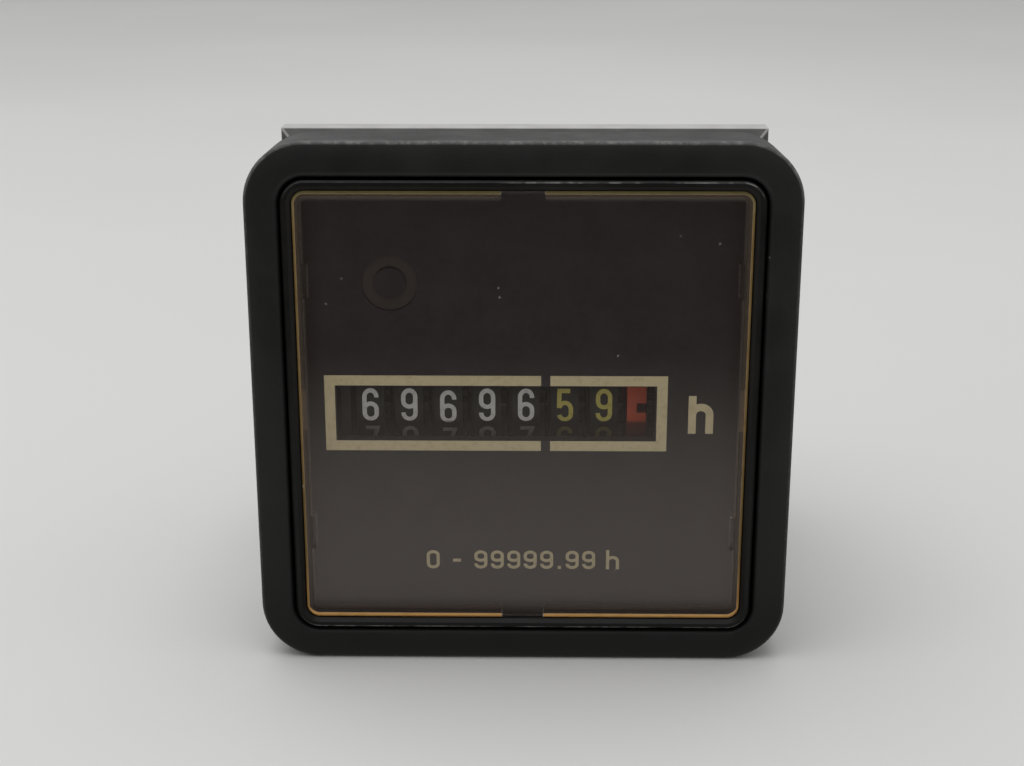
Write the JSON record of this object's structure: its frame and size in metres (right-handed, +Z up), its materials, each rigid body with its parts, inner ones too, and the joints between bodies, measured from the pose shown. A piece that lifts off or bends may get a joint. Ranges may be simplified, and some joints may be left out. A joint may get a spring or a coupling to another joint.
{
  "type": "hour meter",
  "caption": "Square panel-mounted hour meter: framed window over geared digit wheels and a run indicator, driven by a synchronous motor, with blade terminals and a clamping frame.",
  "frame": {"origin": "centre of the panel seat, the flat back of the outer frame", "axes": "+Y into the panel, so the front looks to -Y; +Z up; +X to the right as the front is read"},
  "size_m": [0.0554, 0.0592, 0.0554],
  "materials": {
    "bezel_black": "matt moulded black plastic with a fine grain",
    "housing_black": "satin black plastic",
    "window_amber": "clear moulded plastic, aged to amber",
    "dial_brown": "matt dark brown-grey",
    "frame_grey": "matt dark grey",
    "wheel_black": "matt black",
    "indicator_red": "satin red",
    "pinion_ivory": "natural plastic",
    "gear_ivory": "natural plastic",
    "steel": "drawn steel",
    "bridge_brass": "stamped brass",
    "stator_steel": "zinc-plated sheet",
    "winding_copper": "enamelled copper wire",
    "magnet_grey": "sintered ferrite",
    "terminal_brass": "tinned brass",
    "clamp_grey": "pale grey plastic"
  },
  "bodies": {
    "meter": {"front_bezel": "bezel_black", "housing": "housing_black", "window": "window_amber", "dial_plate": "dial_brown", "counter_frame": "frame_grey", "drum_shaft": "steel", "pinion_shaft": "steel", "arbor_a": "steel", "arbor_b": "steel", "gear_bridge": "bridge_brass", "bridge_screws": "steel", "stator_cup": "stator_steel", "stator_end_plate": "stator_steel", "coil_bobbin": "gear_ivory", "coil_winding": "winding_copper", "motor_screws": "steel", "rear_cover": "housing_black", "terminal_left": "terminal_brass", "terminal_right": "terminal_brass", "cover_screws": "steel"},
    "run_indicator": {"run_indicator_wheel": "indicator_red"},
    "digit_1": {"number_wheel_1": "wheel_black"},
    "digit_2": {"number_wheel_2": "wheel_black"},
    "digit_3": {"number_wheel_3": "wheel_black"},
    "digit_4": {"number_wheel_4": "wheel_black"},
    "digit_5": {"number_wheel_5": "wheel_black"},
    "digit_6": {"number_wheel_6": "wheel_black"},
    "digit_7": {"number_wheel_7": "wheel_black"},
    "transfer_1": {"transfer_pinion_1": "pinion_ivory"},
    "transfer_2": {"transfer_pinion_2": "pinion_ivory"},
    "transfer_3": {"transfer_pinion_3": "pinion_ivory"},
    "transfer_4": {"transfer_pinion_4": "pinion_ivory"},
    "transfer_5": {"transfer_pinion_5": "pinion_ivory"},
    "transfer_6": {"transfer_pinion_6": "pinion_ivory"},
    "transfer_7": {"transfer_pinion_7": "pinion_ivory"},
    "gear_b": {"gear_b": "gear_ivory"},
    "gear_a": {"gear_a": "gear_ivory"},
    "rotor": {"rotor_magnet": "magnet_grey", "rotor_shaft": "steel"},
    "clamp": {"clamp_frame": "clamp_grey"}
  },
  "joints": [
    {"name": "run_indicator_spin", "type": "hinge", "parent": "meter", "child": "run_indicator", "pos_m": [0, 0.0052, -0.001], "axis": [-1, 0, 0], "continuous": true},
    {"name": "digit_1_spin", "type": "hinge", "parent": "meter", "child": "digit_1", "pos_m": [0, 0.0052, -0.001], "axis": [-1, 0, 0], "continuous": true},
    {"name": "digit_2_spin", "type": "hinge", "parent": "meter", "child": "digit_2", "pos_m": [0, 0.0052, -0.001], "axis": [-1, 0, 0], "continuous": true},
    {"name": "digit_3_spin", "type": "hinge", "parent": "meter", "child": "digit_3", "pos_m": [0, 0.0052, -0.001], "axis": [-1, 0, 0], "continuous": true},
    {"name": "digit_4_spin", "type": "hinge", "parent": "meter", "child": "digit_4", "pos_m": [0, 0.0052, -0.001], "axis": [-1, 0, 0], "continuous": true},
    {"name": "digit_5_spin", "type": "hinge", "parent": "meter", "child": "digit_5", "pos_m": [0, 0.0052, -0.001], "axis": [-1, 0, 0], "continuous": true},
    {"name": "digit_6_spin", "type": "hinge", "parent": "meter", "child": "digit_6", "pos_m": [0, 0.0052, -0.001], "axis": [-1, 0, 0], "continuous": true},
    {"name": "digit_7_spin", "type": "hinge", "parent": "meter", "child": "digit_7", "pos_m": [0, 0.0052, -0.001], "axis": [-1, 0, 0], "continuous": true},
    {"name": "transfer_1_spin", "type": "hinge", "parent": "meter", "child": "transfer_1", "pos_m": [0, 0.0052, -0.0094], "axis": [-1, 0, 0], "continuous": true},
    {"name": "transfer_2_spin", "type": "hinge", "parent": "meter", "child": "transfer_2", "pos_m": [0, 0.0052, -0.0094], "axis": [-1, 0, 0], "continuous": true},
    {"name": "transfer_3_spin", "type": "hinge", "parent": "meter", "child": "transfer_3", "pos_m": [0, 0.0052, -0.0094], "axis": [-1, 0, 0], "continuous": true},
    {"name": "transfer_4_spin", "type": "hinge", "parent": "meter", "child": "transfer_4", "pos_m": [0, 0.0052, -0.0094], "axis": [-1, 0, 0], "continuous": true},
    {"name": "transfer_5_spin", "type": "hinge", "parent": "meter", "child": "transfer_5", "pos_m": [0, 0.0052, -0.0094], "axis": [-1, 0, 0], "continuous": true},
    {"name": "transfer_6_spin", "type": "hinge", "parent": "meter", "child": "transfer_6", "pos_m": [0, 0.0052, -0.0094], "axis": [-1, 0, 0], "continuous": true},
    {"name": "transfer_7_spin", "type": "hinge", "parent": "meter", "child": "transfer_7", "pos_m": [0, 0.0052, -0.0094], "axis": [-1, 0, 0], "continuous": true},
    {"name": "gear_b_spin", "type": "hinge", "parent": "meter", "child": "gear_b", "pos_m": [0.0161, 0.00895, 0.0055], "axis": [-1, 0, 0], "continuous": true},
    {"name": "gear_a_spin", "type": "hinge", "parent": "meter", "child": "gear_a", "pos_m": [0.0175, 0.01899, 0.0073], "axis": [-1, 0, 0], "continuous": true},
    {"name": "rotor_spin", "type": "hinge", "parent": "meter", "child": "rotor", "pos_m": [0.009, 0.02653, -0.00001], "axis": [-1, 0, 0], "continuous": true},
    {"name": "clamp_slide", "type": "slide", "parent": "meter", "child": "clamp", "axis": [0, 1, 0], "range_m": [-0.0084, 0.014]}
  ],
  "couplings": [
    {"joint": "digit_1_spin", "follows": "run_indicator_spin", "ratio": 0.1},
    {"joint": "digit_2_spin", "follows": "run_indicator_spin", "ratio": 0.01},
    {"joint": "digit_3_spin", "follows": "run_indicator_spin", "ratio": 0.001},
    {"joint": "digit_4_spin", "follows": "run_indicator_spin", "ratio": 0.0001},
    {"joint": "digit_5_spin", "follows": "run_indicator_spin", "ratio": 0.00001},
    {"joint": "digit_6_spin", "follows": "run_indicator_spin", "ratio": 0.000001},
    {"joint": "digit_7_spin", "follows": "run_indicator_spin", "ratio": 0.0000001},
    {"joint": "transfer_1_spin", "follows": "run_indicator_spin", "ratio": -0.25},
    {"joint": "transfer_2_spin", "follows": "run_indicator_spin", "ratio": -0.025},
    {"joint": "transfer_3_spin", "follows": "run_indicator_spin", "ratio": -0.0025},
    {"joint": "transfer_4_spin", "follows": "run_indicator_spin", "ratio": -0.00025},
    {"joint": "transfer_5_spin", "follows": "run_indicator_spin", "ratio": -0.000025},
    {"joint": "transfer_6_spin", "follows": "run_indicator_spin", "ratio": -0.0000025},
    {"joint": "transfer_7_spin", "follows": "run_indicator_spin", "ratio": -0.00000025},
    {"joint": "gear_b_spin", "follows": "run_indicator_spin", "ratio": -4},
    {"joint": "gear_a_spin", "follows": "run_indicator_spin", "ratio": 30},
    {"joint": "rotor_spin", "follows": "run_indicator_spin", "ratio": -180}
  ]
}
